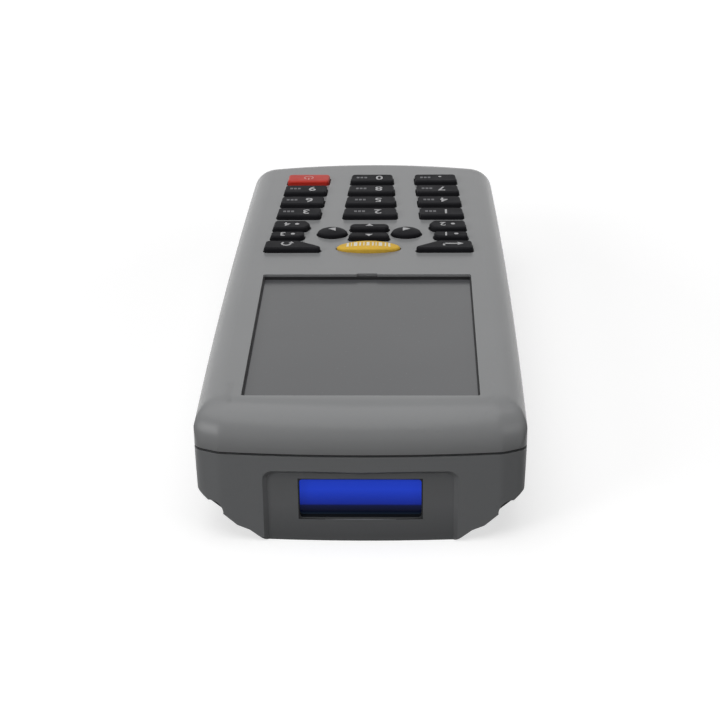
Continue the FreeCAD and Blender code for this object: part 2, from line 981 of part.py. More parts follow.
def along_x(radius, y, z, x0, x1):
    """Cylinder along X."""
    return Part.makeCylinder(radius, x1 - x0, V(x0, y, z), ACROSS)


def engine_screw_spots():
    """The two screws that hold the scan engine's bracket."""
    x = engine_width / 2 + bracket_flange / 2 + bracket_thickness / 2
    y = engine_face + engine_depth / 2
    return ((x, y), (-x, y))


def port_post_spots():
    """The two posts under the port board."""
    y = tail - port_board_from_tail - port_post_from_tail
    return ((port_post_x, y), (-port_post_x, y))


def rear_standing():
    """Everything that stands inside the rear cover, as blocks to leave out of its room."""
    side = tray_half_width + tray_wall
    near = tray_near_y - tray_wall
    tray = box(-side, side, near, tray_far_y + tray_wall, -1, tray_roof + tray_wall)
    groove_top = door_thickness + door_gap
    shelf_side = rail_reach + door_gap + tray_wall
    shelf_far = belly_end_y + belly_end_run + tray_wall
    shelf = box(-shelf_side, shelf_side, near, shelf_far, -1, groove_top + tray_wall)
    port_side = port_door_half_width + port_door_gap + port_pin_anchor + 1
    port_near = port_axis_y - port_knuckle_radius - port_door_gap - tray_wall
    port_low = port_door_low - port_door_gap - tray_wall
    port = box(-port_side, port_side, port_near, tail, port_low, port_door_high + port_door_gap + tray_wall)
    blocks = [tray, shelf, port]
    for x, y in case_screw_spots():
        blocks.append(upright(boss_radius, x, y, -1, body_height))
    for x, y in engine_screw_spots():
        blocks.append(upright(engine_post_radius, x, y, -1, bracket_foot))
    for x, y in port_post_spots():
        blocks.append(upright(port_post_radius, x, y, 0, port_board_height - port_board_thickness))
    for side in (1, -1):
        radius = notch_radius + tray_wall
        back = from_front(notch_depth + tray_wall)
        blocks.append(along_y(radius, side * notch_x, notch_height, front, back))
    return blocks


def rear_openings():
    """Everything that is cut out of the rear cover."""
    cuts = []
    for x, y in case_screw_spots():
        head_radius = case_screw_head_radius + case_screw_play
        shank_radius = case_screw_radius + case_screw_play
        cuts.append(upright(head_radius, x, y, -1, case_screw_seat))
        cuts.append(upright(shank_radius, x, y, case_screw_seat - 1, body_height))
    for x, y in engine_screw_spots():
        cuts.append(upright(engine_screw_radius, x, y, engine_pilot_depth, bracket_foot + 1))
    cuts.append(box(-tray_half_width, tray_half_width, tray_near_y, tray_far_y, 1, tray_roof))
    gap_near = door_near_y - door_gap
    gap_far = belly_end_y + belly_end_run + 1
    mouth = door_half_width + door_gap
    rail_side = rail_reach + door_gap
    groove_foot = rail_foot - door_gap
    groove_top = door_thickness + door_gap
    cuts.append(box(-mouth, mouth, gap_near, gap_far, -1, rail_foot))
    cuts.append(box(-rail_side, rail_side, gap_near, gap_far, groove_foot, groove_top))
    plug_side = connector_half_width + connector_play
    plug_near = tray_near_y - connector_depth - connector_play
    plug_low = connector_low - connector_play
    cuts.append(box(-plug_side, plug_side, plug_near, tray_near_y + 1, plug_low, seam_height))
    recess_floor = front_bow_slab(front + scan_recess_depth, 0, -2 * OVERRUN, body_height)
    for side in (1, -1):
        cuts.append(recess_wedge(side).cut(recess_floor))
        cuts.append(along_y(notch_radius, side * notch_x, notch_height, front - 1, from_front(notch_depth)))
    cuts.append(window_funnel())
    cuts.append(window_plate(0, window_radius, front, pane_back))
    cuts.append(window_plate(pane_lap, window_radius, pane_face, engine_face + 1))
    door_side = port_door_half_width + port_door_gap
    pocket_back = port_axis_y - port_knuckle_radius - port_door_gap
    door_low = port_door_low - port_door_gap
    cuts.append(box(-door_side, door_side, pocket_back, tail + 1, door_low, port_door_high + port_door_gap))
    x = port_mouth_half_width
    cuts.append(box(-x, x, pocket_back - 2 * tray_wall, tail, port_mouth_low, port_mouth_high))
    pin_half = door_side + port_pin_anchor
    cuts.append(along_x(port_pin_radius, port_axis_y, port_axis_z, -pin_half, pin_half))
    return cuts


def make_rear_cover(outer, inner, groove):
    """Lower shell with the scan recess, battery tray, door rails, screw bosses and the port."""
    lip_top = seam_height + lip_height
    room = inner.common(slab(-1, boss_meet))
    for block in rear_standing():
        room = room.cut(block)
    lip = casing_form(wall - lip_width, front_wall - wall).common(slab(seam_height - 1, lip_top))
    shell = outer.common(slab(-1, seam_height)).cut(groove).fuse(lip).cut(room)
    for cut in rear_openings():
        shell = shell.cut(cut)
    return shell


def make_main_board(board_form):
    """Main board between the shells, cut out around the screw bosses and drilled for its screws."""
    board = board_form.common(slab(board_foot, board_top))
    for x, y in case_screw_spots():
        board = board.cut(upright(boss_radius + post_clear, x, y, board_foot - 1, board_top + 1))
    for x, y in board_post_spots():
        board = board.cut(upright(board_screw_radius, x, y, board_foot - 1, board_top + 1))
    return board


def make_board_parts():
    """Shield can, buzzer and backup cell under the main board."""
    x = shield_from_side - half_width
    y = from_front(shield_from_front)
    half_length = shield_length / 2
    half_across = shield_width / 2
    foot = board_foot - shield_height
    shield = box(x - half_length, x + half_length, y - half_across, y + half_across, foot, board_foot)
    sheet = shield_sheet
    hollow = box(
        x - half_length + sheet,
        x + half_length - sheet,
        y - half_across + sheet,
        y + half_across - sheet,
        foot + sheet,
        board_foot + 1,
    )
    x = half_width - buzzer_from_side
    y = from_front(buzzer_from_front)
    buzzer_foot = board_foot - buzzer_height
    buzzer = upright(buzzer_radius, x, y, buzzer_foot, board_foot)
    buzzer = buzzer.cut(upright(buzzer_hole_radius, x, y, buzzer_foot - 1, buzzer_foot + 1))
    x = half_width - cell_from_side
    y = from_front(cell_from_front)
    return {
        "shield_can": shield.cut(hollow),
        "buzzer": buzzer,
        "backup_cell": upright(cell_radius, x, y, board_foot - cell_height, board_foot),
    }


def make_screw(radius, length, head_radius, head_height):
    """Screw pointing up from Z = 0, with its slotted head below."""
    screw = upright(radius, 0, 0, 0, length).fuse(upright(head_radius, 0, 0, -head_height, 0))
    half = screw_slot_width / 2
    top = screw_slot_depth - head_height
    for turn in (0, 90):
        slot = box(-head_radius - 1, head_radius + 1, -half, half, -head_height - 1, top)
        slot.rotate(V(0, 0, 0), UP, turn)
        screw = screw.cut(slot)
    return screw.removeSplitter()


def screws_at(screw, spots, z, from_below=True):
    """The same screw at several spots, as one node."""
    placed = []
    for x, y in spots:
        copy = screw.copy()
        if not from_below:
            copy.rotate(V(0, 0, 0), ACROSS, 180)
        copy.translate(V(x, y, z))
        placed.append(copy)
    return Part.makeCompound(placed)


def make_scan_parts():
    """Window pane, its gasket, the scan engine with its lenses, bracket and flex."""
    pane = window_plate(pane_lap, window_radius, pane_face, pane_back)
    gasket = window_plate(pane_lap, window_radius, pane_back, engine_face)
    gasket = gasket.cut(window_plate(0, window_radius, pane_back - 1, engine_face + 1))
    half = engine_width / 2
    back = engine_face + engine_depth
    engine = box(-half, half, engine_face, back, engine_low, engine_top)
    middle = (engine_low + engine_top) / 2
    lenses = []
    port_back = engine_face + engine_port_depth
    for x in (engine_port_x, -engine_port_x):
        engine = engine.cut(along_y(engine_port_radius, x, middle, engine_face - 1, port_back))
        lens_face = port_back - engine_lens_thickness
        lenses.append(along_y(engine_port_radius, x, middle, lens_face, port_back))
    side = half + bracket_thickness
    near = engine_face + bracket_set_back
    reach = side + bracket_flange
    bracket = box(-reach, reach, near, back, bracket_foot, engine_low)
    cheek_top = engine_low + bracket_cheek_height
    for x0 in (half, -side):
        bracket = bracket.fuse(box(x0, x0 + bracket_thickness, near, back, bracket_foot, cheek_top))
    for x, y in engine_screw_spots():
        bracket = bracket.cut(upright(engine_screw_radius, x, y, bracket_foot - 1, engine_low + 1))
    flex_half = engine_flex_half_width
    flex = box(-flex_half, flex_half, back, back + flex_thickness, engine_flex_low, board_foot)
    leg_far = back + flex_thickness + engine_flex_reach
    leg = box(-flex_half, flex_half, back, leg_far, board_foot - flex_thickness, board_foot)
    return {
        "scan_window": pane,
        "window_gasket": gasket,
        "scan_engine": engine,
        "engine_lens": Part.makeCompound(lenses),
        "engine_bracket": bracket.removeSplitter(),
        "engine_flex": flex.fuse(leg).removeSplitter(),
    }


def make_battery_parts(outer):
    """Battery pack, sliding door, connector and contact blades."""
    half = battery_width / 2
    near = tray_near_y + contact_reach
    far = near + battery_length
    pack = rectangle_plate(-half, half, near, far, battery_corner, battery_foot, tray_roof)
    door_far = belly_end_y + belly_end_run
    x = door_half_width
    door = box(-x, x, door_near_y, door_far, -1, door_thickness)
    x = rail_reach
    door = door.fuse(box(-x, x, door_near_y, door_far, rail_foot, door_thickness)).common(outer)
    x = door_grip_half_length
    for index in range(door_grip_count):
        y = belly_end_y - edge_soft - (index + 1) * door_grip_pitch
        door = door.cut(box(-x, x, y, y + door_grip_width, -1, door_grip_depth))
    x = connector_half_width
    body = box(-x, x, tray_near_y - connector_depth, tray_near_y, connector_low, board_foot)
    blades = []
    for index in range(contact_count):
        x = (index - (contact_count - 1) / 2) * contact_pitch
        x0 = x - contact_width / 2
        x1 = x + contact_width / 2
        tip = box(x0, x1, near - contact_thickness, near, contact_low, contact_high)
        leg_near = tray_near_y - contact_leg
        leg = box(x0, x1, leg_near, near, contact_high - contact_thickness, contact_high)
        blades.append(tip.fuse(leg).removeSplitter())
    blades = Part.makeCompound(blades)
    return {
        "battery_pack": pack,
        "battery_door": door,
        "battery_connector": body.cut(blades),
        "contact_blades": blades,
    }


def make_port_parts():
    """Port board, socket, header, and the hinged door with its pin."""
    far = tail - port_board_from_tail
    near = far - port_board_length
    x = port_board_half_width
    foot = port_board_height - port_board_thickness
    board = box(-x, x, near, far, foot, port_board_height)
    socket_far = tail - socket_from_tail
    socket_near = socket_far - socket_length
    x = socket_width / 2
    top = port_board_height + socket_height
    shell = box(-x, x, socket_near, socket_far, port_board_height, top)
    lift = socket_wall
    inside = box(-x + lift, x - lift, socket_near + 2, socket_far + 1, port_board_height + lift, top - lift)
    middle = port_board_height + socket_height / 2
    thin = socket_tongue / 2
    tongue = box(-x + 1, x - 1, socket_near + 1, socket_far - 1, middle - thin, middle + thin)
    header_y = tail - header_from_tail
    x = header_width / 2
    deep = header_depth / 2
    header = box(-x, x, header_y - deep, header_y + deep, port_board_height, board_foot)
    x = port_door_half_width
    knuckle = along_x(port_knuckle_radius, port_axis_y, port_axis_z, -x, x)
    leaf_back = tail - port_door_set_in - port_door_thickness
    leaf = box(-x, x, leaf_back, tail, port_axis_z, port_door_high)
    hole_radius = port_pin_radius + port_pin_play
    door = leaf.fuse(knuckle).common(casing_form(port_door_set_in))
    door = door.cut(along_x(hole_radius, port_axis_y, port_axis_z, -x - 1, x + 1))
    pin_half = x + port_door_gap + port_pin_anchor
    return {
        "port_board": board,
        "port_socket": shell.cut(inside).fuse(tongue).removeSplitter(),
        "board_header": header,
        "port_door": door.removeSplitter(),
        "port_door_pin": along_x(port_pin_radius, port_axis_y, port_axis_z, -pin_half, pin_half),
    }


def make_screws():
    """Case, board and engine screws, each kind as one node."""
    case_screw = make_screw(
        case_screw_radius,
        case_screw_length,
        case_screw_head_radius,
        case_screw_head,
    )
    board_screw = make_screw(
        board_screw_radius,
        board_screw_length,
        board_screw_head_radius,
        board_screw_head,
    )
    engine_screw = make_screw(
        engine_screw_radius,
        engine_screw_length,
        engine_screw_head_radius,
        engine_screw_head,
    )
    return {
        "case_screws": screws_at(case_screw, case_screw_spots(), case_screw_seat),
        "board_screws": screws_at(board_screw, board_post_spots(), board_foot),
        "engine_screws": screws_at(engine_screw, engine_screw_spots(), engine_low, False),
    }


def main():
    """Write every piece of the terminal."""
    os.makedirs("parts", exist_ok=True)
    outer = casing_form()
    inner = casing_form(wall, front_wall - wall)
    groove = seam_groove()
    keys = keypad()
    pieces = {key.name: make_key(key) for key in keys}
    pieces["keypad_mat"] = make_keypad_mat(keys)
    pieces["dome_switches"] = make_dome_switches(keys)
    pieces["front_cover"] = make_front_cover(outer, inner, groove, keys)
    pieces["rear_cover"] = make_rear_cover(outer, inner, groove)
    pieces["main_board"] = make_main_board(casing_form(wall + board_gap, front_wall - wall))
    pieces.update(make_display())
    pieces.update(make_board_parts())
    pieces.update(make_scan_parts())
    pieces.update(make_battery_parts(outer))
    pieces.update(make_port_parts())
    pieces.update(make_screws())
    for name, shape in pieces.items():
        save(shape, name)


if __name__ == "__main__":
    main()
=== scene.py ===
import math

import bpy
from mathutils import Matrix, Vector


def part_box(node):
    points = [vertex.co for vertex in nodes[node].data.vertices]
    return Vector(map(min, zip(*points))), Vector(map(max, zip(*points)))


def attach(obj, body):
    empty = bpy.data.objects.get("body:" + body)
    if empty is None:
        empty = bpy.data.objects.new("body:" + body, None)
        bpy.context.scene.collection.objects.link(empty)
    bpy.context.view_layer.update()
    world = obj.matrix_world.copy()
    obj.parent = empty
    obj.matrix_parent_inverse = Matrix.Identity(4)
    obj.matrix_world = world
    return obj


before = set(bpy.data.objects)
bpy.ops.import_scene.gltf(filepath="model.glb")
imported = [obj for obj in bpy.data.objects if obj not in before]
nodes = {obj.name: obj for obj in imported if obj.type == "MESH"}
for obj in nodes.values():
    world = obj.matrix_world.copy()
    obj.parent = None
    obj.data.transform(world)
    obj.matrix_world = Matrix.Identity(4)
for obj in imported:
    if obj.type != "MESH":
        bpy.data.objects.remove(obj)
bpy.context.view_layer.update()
MM = 0.001

# Colours, linear: as the surfaces have them, but the pane's blues glow as painted light and SHADE is
# painted shade.
COVER = (0.262, 0.266, 0.270)
CASE = (0.235, 0.240, 0.246)
KEY = (0.014, 0.014, 0.016)
YELLOW = (0.78, 0.49, 0.065)
RED = (0.52, 0.026, 0.014)
MARK = (0.50, 0.50, 0.51)
DIM_MARK = (0.13, 0.13, 0.14)
PANE_BLUE = (0.013, 0.042, 0.46)
PANE_DEEP_BLUE = (0.006, 0.016, 0.20)
PANE_NAVY = (0.0010, 0.0020, 0.010)
SHADE = (0.010, 0.011, 0.012)

# Notch in each lower front corner, darkened with painted shade: its axis from the side and its depth
# from the scanning end.
NOTCH_FROM_SIDE = 0.00333
NOTCH_HEIGHT = 0.00655
NOTCH_RADIUS = 0.0026
NOTCH_DEPTH = 0.0034

# Recess round the scan window: painted shade makes it a little darker than the case round it, more so
# towards the bottom.
RECESS_HALF_WIDTH = 0.0206
RECESS_TOP = 0.0171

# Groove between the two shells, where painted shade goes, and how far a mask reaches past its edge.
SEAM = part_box("front_cover")[0].z + 0.0002
SEAM_HALF_HEIGHT = 0.00021
SKIN = 0.00004

# Depth that the fine grain of plastic and rubber stands out.
GRAIN_DEPTH = 0.0001

# Printed marks: thickness, height of the digits and where the small bars stand.
PRINT = 0.00002
DIGIT_HEIGHT = 0.0030
SMALL_DIGIT_HEIGHT = 0.0024
BARS_X = -0.0014

# Floor and world: white for the camera and for gloss, and dim as a lamp.
FLOOR_REACH = 6.0
FLOOR_GREY = 0.50
FLOOR_BOUNCE = 0.06
GLOW_NEAR = (0.10, 0.66)
GLOW_FAR = (0.45, 1.0)
SKY_LEVEL = 0.03

# Camera at the photograph's angle: angles in degrees.
CAMERA_PLACE = (0.01045, -0.41213, 0.20143)
CAMERA_YAW = -1.747
CAMERA_PITCH = 25.485
CAMERA_ROLL = -0.742
CAMERA_LENS = 90.65


class Tree:
    """A material's node tree, with short calls for the nodes used here."""

    def __init__(self, name):
        self.material = bpy.data.materials.new(name)
        self.material.use_nodes = True
        self.tree = self.material.node_tree
        self.tree.nodes.clear()
        self.output = self.node("ShaderNodeOutputMaterial")
        self.place = self.node("ShaderNodeTexCoord").outputs["Object"]

    def node(self, kind, **inputs):
        made = self.tree.nodes.new(kind)
        for name, value in inputs.items():
            self.feed(made.inputs[name.replace("_", " ")], value)
        return made

    def feed(self, socket, value):
        if isinstance(value, bpy.types.NodeSocket):
            self.tree.links.new(value, socket)
        else:
            socket.default_value = value

    def noise(self, scale, detail=2.0, rough=0.5, vector=None):
        made = self.node("ShaderNodeTexNoise", Scale=scale, Detail=detail, Roughness=rough)
        self.feed(made.inputs["Vector"], vector or self.place)
        return made.outputs["Fac"]

    def ramp(self, value, stops, smooth=True):
        made = self.node("ShaderNodeValToRGB")
        made.color_ramp.interpolation = "LINEAR" if smooth else "CONSTANT"
        self.feed(made.inputs["Fac"], value)
        elements = made.color_ramp.elements
        while len(elements) > 1:
            elements.remove(elements[-1])
        for index, (position, color) in enumerate(stops):
            element = elements[0] if index == 0 else elements.new(position)
            element.position = position
            element.color = tuple(color) + (1.0,) if len(color) == 3 else color
        return made.outputs["Color"]

    def range(self, value, low, high, new_low, new_high):
        made = self.node("ShaderNodeMapRange")
        limits = {"From Min": low, "From Max": high, "To Min": new_low, "To Max": new_high}
        for name, number in limits.items():
            made.inputs[name].default_value = number
        self.feed(made.inputs["Value"], value)
        return made.outputs["Result"]

    def math(self, operation, a, b=0.0):
        made = self.tree.nodes.new("ShaderNodeMath")
        made.operation = operation
        self.feed(made.inputs[0], a)
        self.feed(made.inputs[1], b)
        return made.outputs["Value"]

    def chain(self, operation, first, *others):
        """One operation over several values, from left to right."""
        for value in others:
            first = self.math(operation, first, value)
        return first

    def mix(self, factor, a, b):
        made = self.tree.nodes.new("ShaderNodeMix")
        made.data_type = "RGBA"
        pairs = ((made.inputs["Factor"], factor), (made.inputs[6], a), (made.inputs[7], b))
        for socket, value in pairs:
            if isinstance(value, tuple) and len(value) == 3:
                value = value + (1.0,)
            self.feed(socket, value)
        return made.outputs[2]

    def axes(self):
        made = self.node("ShaderNodeSeparateXYZ", Vector=self.place)
        return made.outputs["X"], made.outputs["Y"], made.outputs["Z"]

    def bump(self, height, strength, distance, soft=None):
        made = self.node("ShaderNodeBump", Strength=strength, Distance=distance, Height=height)
        if soft:
            rounding = self.node("ShaderNodeBevel", Radius=soft)
            rounding.samples = 8
            self.feed(made.inputs["Normal"], rounding.outputs["Normal"])
        return made.outputs["Normal"]

    def surface(self, **inputs):
        """Principled shader onto the output; returns the shader's node."""
        made = self.node("ShaderNodeBsdfPrincipled")
        for name, value in inputs.items():
            socket = made.inputs[name.replace("_", " ")]
            if isinstance(value, tuple) and len(value) == 3 and socket.type == "RGBA":
                value = value + (1.0,)
            self.feed(socket, value)
        self.tree.links.new(made.outputs["BSDF"], self.output.inputs["Surface"])
        return made


def shade(color, factor):
    """The same colour, lighter or darker."""
    return tuple(min(1.0, part * factor) for part in color)


def moulded(name, color, rough=(0.42, 0.52), grain=0.05, dark=None, soft=None):
    """Moulded plastic: fine spark-eroded grain, faint cloudiness, a little handling shine."""
    tree = Tree(name)
    clouds = tree.noise(38.0, 4.0, 0.55)
    speck = tree.noise(900.0, 2.0, 0.5)
    tone = tree.ramp(clouds, ((0.30, shade(color, 0.98)), (0.70, shade(color, 1.02))))
    tone = tree.mix(tree.range(speck, 0.62, 0.75, 0.0, 0.12), tone, shade(color, 0.80))
    # Painted shade: where the mask is set, the tone goes toward SHADE.
    if dark:
        tone = tree.mix(dark(tree), tone, SHADE)
    gloss = tree.range(tree.noise(60.0, 3.0, 0.6), 0.3, 0.7, *rough)
    radius = soft(tree) if soft else None
    normal = tree.bump(tree.noise(2600.0, 1.5, 0.5), grain, GRAIN_DEPTH, radius)
    tree.surface(Base_Color=tone, Roughness=gloss, Specular_IOR_Level=0.2, Normal=normal)
    return tree.material


def rubber(name, color):
    """Matte rubber with dust in its grain."""
    tree = Tree(name)
    dust = tree.noise(220.0, 4.0, 0.6)
    tone = tree.ramp(dust, ((0.35, shade(color, 0.8)), (0.75, shade(color, 1.35))))
    normal = tree.bump(tree.noise(3200.0, 2.0, 0.5), 0.08, GRAIN_DEPTH)
    gloss = tree.range(tree.noise(140.0, 3.0, 0.6), 0.3, 0.7, 0.62, 0.78)
    tree.surface(Base_Color=tone, Roughness=gloss, Specular_IOR_Level=0.35, Normal=normal)
    return tree.material


def metal(name, color, rough=0.3):
    """Sheet or turned metal with fine drawn lines."""
    tree = Tree(name)
    mapping = tree.node("ShaderNodeMapping", Vector=tree.place, Scale=(1.0, 14.0, 1.0))
    lines = tree.noise(700.0, 3.0, 0.6, mapping.outputs["Vector"])
    tone = tree.ramp(lines, ((0.3, shade(color, 0.85)), (0.7, shade(color, 1.1))))
    gloss = tree.range(lines, 0.3, 0.7, rough, rough + 0.15)
    normal = tree.bump(lines, 0.1, 0.00005)
    tree.surface(Base_Color=tone, Metallic=1.0, Roughness=gloss, Normal=normal)
    return tree.material


def circuit(name):
    """Green solder mask with faint tracks and pads."""
    tree = Tree(name)
    brick = tree.node("ShaderNodeTexBrick", Vector=tree.place, Scale=260.0)
    brick.inputs["Color1"].default_value = (0.012, 0.095, 0.040, 1.0)
    brick.inputs["Color2"].default_value = (0.015, 0.120, 0.050, 1.0)
    brick.inputs["Mortar"].default_value = (0.022, 0.170, 0.075, 1.0)
    brick.inputs["Mortar Size"].default_value = 0.05
    pads = tree.range(tree.noise(420.0, 1.0, 0.4), 0.70, 0.72, 0.0, 1.0)
    tone = tree.mix(pads, brick.outputs["Color"], (0.42, 0.40, 0.33))
    tree.surface(Base_Color=tone, Roughness=0.32, Coat_Weight=0.3, Coat_Roughness=0.2)
    return tree.material


def film(name, color):
    """Thin flexible circuit with copper lines showing through."""
    tree = Tree(name)
    pitch = 0.0005
    lines = tree.math("PINGPONG", tree.axes()[0], pitch)
    copper = tree.range(lines, 0.0, pitch, 0.0, 1.0)
    tone = tree.ramp(copper, ((0.4, color), (0.6, shade(color, 0.55))))
    tree.surface(Base_Color=tone, Roughness=0.28, Coat_Weight=0.25, Coat_Roughness=0.15)
    return tree.material


def touch_screen(name):
    """Grey touch film: a satin sheet with faint dust and a soft cloud of tone."""
    tree = Tree(name)
    clouds = tree.noise(16.0, 2.0, 0.5)
    tone = tree.ramp(clouds, ((0.3, (0.080, 0.082, 0.086)), (0.7, (0.094, 0.096, 0.101))))
    dust = tree.range(tree.noise(1400.0, 2.0, 0.6), 0.66, 0.78, 0.0, 0.10)
    tone = tree.mix(dust, tone, (0.32, 0.32, 0.33))
    gloss = tree.range(tree.noise(45.0, 3.0, 0.6), 0.3, 0.7, 0.20, 0.27)
    tree.surface(Base_Color=tone, Roughness=gloss, Specular_IOR_Level=0.42)
    return tree.material


def glowing_coated_pane(name):
    """Scan window: a blue coating above, dark glass over the engine's lower part; the whole pane glows
    with its tone as painted light, the blue graded by height.
    """
    tree = Tree(name)
    z = tree.axes()[2]
    cloud = tree.math("MULTIPLY", tree.math("SUBTRACT", tree.noise(90.0, 3.0), 0.5), 0.10)
    height = tree.math("ADD", tree.range(z, 0.0074, 0.0084, 0.0, 1.0), cloud)
    lower = tree.ramp(
        tree.range(z, 0.0052, 0.0078, 0.0, 1.0),
        ((0.0, (0.010, 0.017, 0.026)), (0.45, PANE_NAVY), (1.0, (0.004, 0.007, 0.040))),
    )
    upper = tree.ramp(
        tree.range(z, 0.0078, 0.0147, 0.0, 1.0),
        ((0.0, PANE_DEEP_BLUE), (0.55, PANE_BLUE), (1.0, shade(PANE_BLUE, 0.92))),
    )
    tone = tree.mix(tree.ramp(height, ((0.30, (0, 0, 0)), (0.70, (1, 1, 1)))), lower, upper)
    made = tree.surface(Base_Color=tone, Roughness=0.12, Specular_IOR_Level=0.06)
    # Painted light: the pane glows with its own tone, though it is no lamp.
    tree.feed(made.inputs["Emission Color"], tone)
    made.inputs["Emission Strength"].default_value = 0.85
    return tree.material


def dark_glass(name):
    """Lens glass with a purple bloom."""
    tree = Tree(name)
    facing = tree.node("ShaderNodeLayerWeight", Blend=0.3).outputs["Facing"]
    tone = tree.ramp(facing, ((0.0, (0.010, 0.008, 0.022)), (1.0, (0.05, 0.02, 0.09))))
    tree.surface(Base_Color=tone, Roughness=0.05, Coat_Weight=1.0, Coat_Roughness=0.02)
    return tree.material


def printed(name, color):
    """Printed mark, slightly worn."""
    tree = Tree(name)
    wear = tree.noise(1100.0, 3.0, 0.6)
    tone = tree.ramp(wear, ((0.30, shade(color, 0.78)), (0.55, color)))
    tree.surface(Base_Color=tone, Roughness=0.55, Specular_IOR_Level=0.4)
    return tree.material


def triangle(tree, centre_x, centre_y, turn, size):
    """Mask of a small triangle that points along the turned X axis."""
    x, y = tree.axes()[:2]
    cosine = math.cos(turn)
    sine = math.sin(turn)
    dx = tree.math("SUBTRACT", x, centre_x)
    dy = tree.math("SUBTRACT", y, centre_y)
    along = tree.math("ADD", tree.math("MULTIPLY", dx, cosine), tree.math("MULTIPLY", dy, sine))
    across = tree.math("SUBTRACT", tree.math("MULTIPLY", dy, cosine), tree.math("MULTIPLY", dx, sine))
    side = tree.math("ADD", tree.math("MULTIPLY", tree.math("ABSOLUTE", across), 1.5), along)
    inside = tree.math("LESS_THAN", side, size)
    return tree.math("MULTIPLY", inside, tree.math("GREATER_THAN", along, -0.8 * size))


def rubber_key(name, color, mark=None, mark_color=MARK, rough=(0.50, 0.62), level=0.05):
    """Silicone key: satin top with fine grain; an optional mark in its colour."""
    tree = Tree(name)
    clouds = tree.noise(150.0, 3.0, 0.6)
    tone = tree.ramp(clouds, ((0.3, shade(color, 0.88)), (0.72, shade(color, 1.12))))
    if mark:
        tone = tree.mix(mark(tree), tone, mark_color)
    gloss = tree.range(tree.noise(210.0, 3.0, 0.6), 0.3, 0.7, *rough)
    normal = tree.bump(tree.noise(2400.0, 2.0, 0.5), 0.05, GRAIN_DEPTH)
    tree.surface(Base_Color=tone, Roughness=gloss, Specular_IOR_Level=level, Normal=normal)
    return tree.material


def paint(material, *names):
    """Give a material to CAD nodes."""
    for name in names:
        data = nodes[name].data
        data.materials.clear()
        data.materials.append(material)


def middle(name):
    """Centre of a CAD node and the height of its top."""
    low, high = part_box(name)
    return (low + high) / 2, high.z


def near(tree, value, place, reach):
    """Mask that is 1 where a value is closer to a place than the reach."""
    return tree.math("LESS_THAN", tree.math("ABSOLUTE", tree.math("SUBTRACT", value, place)), reach)


def bar_code(tree):
    """Mask of a row of bars of different widths on the scan key."""
    centre = middle("key_scan")[0]
    x, y = tree.axes()[:2]
    run = tree.range(x, centre.x - 0.0056, centre.x + 0.0056, 0.0, 1.0)
    stops = []
    position = 0.0
    widths = (5, 4, 2, 4, 7, 4, 3, 5, 2, 4, 6, 5, 3, 4, 2, 4, 7, 5, 3, 4, 5)
    total = sum(widths)
    for index, width in enumerate(widths):
        level = 1.0 if index % 2 == 0 else 0.0
        stops.append((position / total, (level, level, level)))
        position += width
    bars = tree.ramp(run, stops, False)
    band = near(tree, y, centre.y + 0.0003, 0.0012)
    inside = near(tree, x, centre.x, 0.0055)
    return tree.chain("MULTIPLY", bars, band, inside)


def ball_mark(name, turn):
    """Mask of the arrow on a ball key."""
    centre = middle(name)[0]
    return lambda tree: triangle(tree, centre.x, centre.y + 0.0004, turn, 0.0011)


def between(tree, value, low, high):
    """Mask that is 1 where a value lies between two limits."""
    above = tree.math("GREATER_THAN", value, low)
    return tree.math("MULTIPLY", above, tree.math("LESS_THAN", value, high))


def seam_painted_shade(tree):
    """Mask of the groove between the shells, which gets painted shade."""
    z = tree.axes()[2]
    return between(tree, z, SEAM - SEAM_HALF_HEIGHT, SEAM + SEAM_HALF_HEIGHT)


def case_painted_shade(tree):
    """Mask of painted shade: on the seam, on the window's reveal, in the notches and, faintly and more
    towards the bottom, in the recess.
    """
    x, y, z = tree.axes()
    low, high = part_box("scan_window")
    # Painted shade on the window's reveal.
    reveal = tree.chain(
        "MULTIPLY",
        between(tree, x, low.x + 0.0010, high.x - 0.0010),
        between(tree, z, low.z + 0.0009, high.z - 0.0010),
        between(tree, y, low.y - 0.0016, high.y),
    )
    # Painted shade in each corner notch.
    low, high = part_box("rear_cover")
    across = tree.math("SUBTRACT", tree.math("ABSOLUTE", x), high.x - NOTCH_FROM_SIDE)
    rise = tree.math("SUBTRACT", z, NOTCH_HEIGHT)
    reach = tree.math("ADD", tree.math("MULTIPLY", across, across), tree.math("MULTIPLY", rise, rise))
    notch = tree.chain(
        "MULTIPLY",
        tree.math("LESS_THAN", reach, (NOTCH_RADIUS + SKIN) ** 2),
        tree.math("LESS_THAN", y, low.y + NOTCH_DEPTH + SKIN),
    )
    # Painted shade in the recess, stronger towards the bottom.
    recess = tree.chain(
        "MULTIPLY",
        between(tree, x, -RECESS_HALF_WIDTH, RECESS_HALF_WIDTH),
        between(tree, y, low.y, low.y + 0.005),
        tree.range(z, RECESS_TOP - 0.0012, RECESS_TOP - 0.0002, 1.0, 0.0),
        tree.range(z, 0.0015, 0.0085, 0.42, 0.16),
    )
    return tree.chain("MAXIMUM", seam_painted_shade(tree), reveal, notch, recess)


def corner_rounding(tree):
    """Radius of the soft turn where a front corner's roll meets the side's roll."""
    x, y, z = tree.axes()
    low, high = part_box("front_cover")
    along = tree.range(y, low.y + 0.016, low.y + 0.020, 1.0, 0.0)
    across = tree.range(tree.math("ABSOLUTE", x), high.x - 0.0092, high.x - 0.0068, 0.0, 1.0)
    room = tree.math("MINIMUM", tree.math("SUBTRACT", z, SEAM + 0.0006), 0.003)
    return tree.chain("MULTIPLY", along, across, tree.math("MAXIMUM", room, 0.0))


